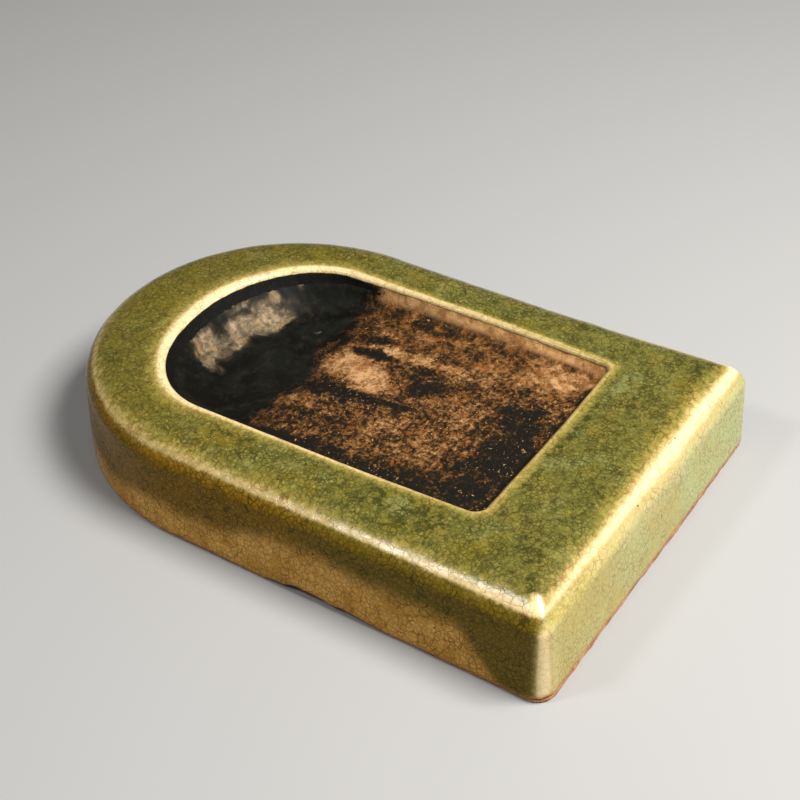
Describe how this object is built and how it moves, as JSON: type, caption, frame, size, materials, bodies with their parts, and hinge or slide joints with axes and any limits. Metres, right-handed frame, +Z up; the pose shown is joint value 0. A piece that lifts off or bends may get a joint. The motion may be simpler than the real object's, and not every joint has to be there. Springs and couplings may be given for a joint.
{
  "type": "ceramic inkstone",
  "caption": "Glazed ceramic inkstone with one flat and one round end; ink is ground on its shallow land and runs into its deeper sea.",
  "frame": {"origin": "middle of the footprint, on the plane the inkstone stands on", "axes": "+Z up, +Y along the length towards the round end, where the well is deepest, +X across the width"},
  "size_m": [0.098, 0.15, 0.024],
  "materials": {
    "fired_clay": "matte",
    "green_glaze": "gloss",
    "dried_ink": "satin"
  },
  "bodies": {
    "root": {"clay_body": "fired_clay", "glaze_coat": "green_glaze", "dried_ink": "dried_ink"}
  },
  "joints": []
}
